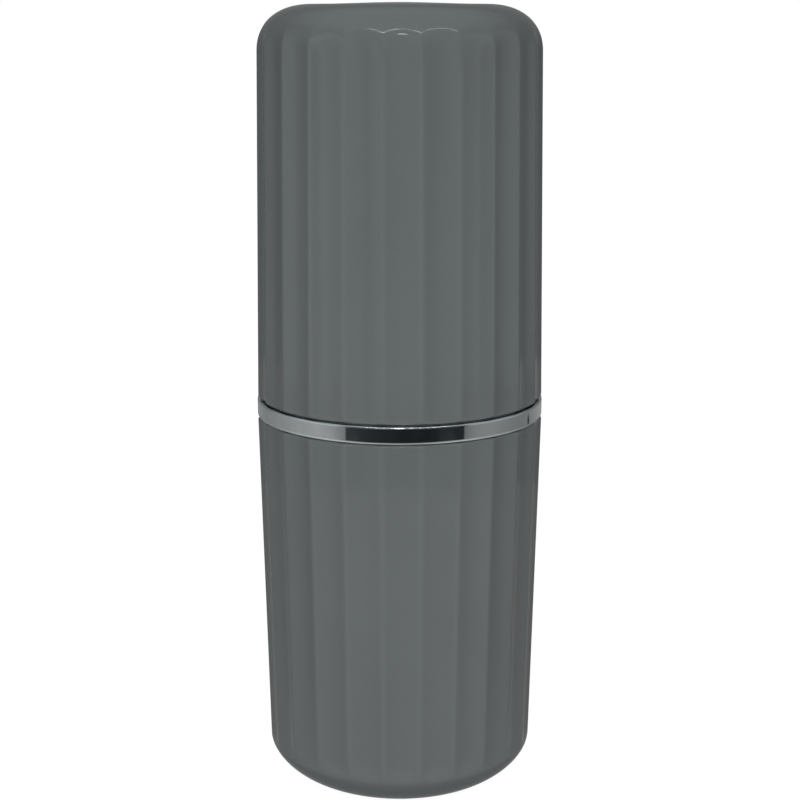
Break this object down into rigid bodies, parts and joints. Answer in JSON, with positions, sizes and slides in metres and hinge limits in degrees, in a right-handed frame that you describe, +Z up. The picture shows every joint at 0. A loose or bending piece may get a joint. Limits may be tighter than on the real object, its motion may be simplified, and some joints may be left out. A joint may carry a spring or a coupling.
{
  "type": "lidded toothbrush holder",
  "caption": "Slim upright toothbrush holder: a fluted lid lifts off a fluted tapering tumbler at a bright ring; a removable inner cup and brush divider inside.",
  "frame": {"origin": "centre of the foot, on the surface the holder stands on", "axes": "+Z up along the holder's axis; -Y towards the viewer of the picture; a flute lies on each of X and Y"},
  "size_m": [0.0752, 0.0752, 0.2059],
  "materials": {
    "tumbler_plastic": "slate grey, satin",
    "lid_plastic": "slate grey, satin",
    "cup_plastic": "slate grey, smooth satin",
    "divider_plastic": "slate grey, smooth satin",
    "plated_ring": "bright plating, polished",
    "foot_rubber": "soft, near black"
  },
  "bodies": {
    "tumbler": {"outer_tumbler": "tumbler_plastic", "trim_ring": "plated_ring", "foot_ring": "foot_rubber"},
    "cup": {"inner_cup": "cup_plastic"},
    "lid": {"lid": "lid_plastic"},
    "divider": {"brush_divider": "divider_plastic"}
  },
  "joints": [
    {"name": "cup_lift", "type": "slide", "parent": "tumbler", "child": "cup", "axis": [0, 0, 1], "range_m": [0, 0.11]},
    {"name": "lid_lift", "type": "slide", "parent": "cup", "child": "lid", "axis": [0, 0, 1], "range_m": [0, 0.12]},
    {"name": "divider_lift", "type": "slide", "parent": "cup", "child": "divider", "axis": [0, 0, 1], "range_m": [0, 0.06]}
  ]
}
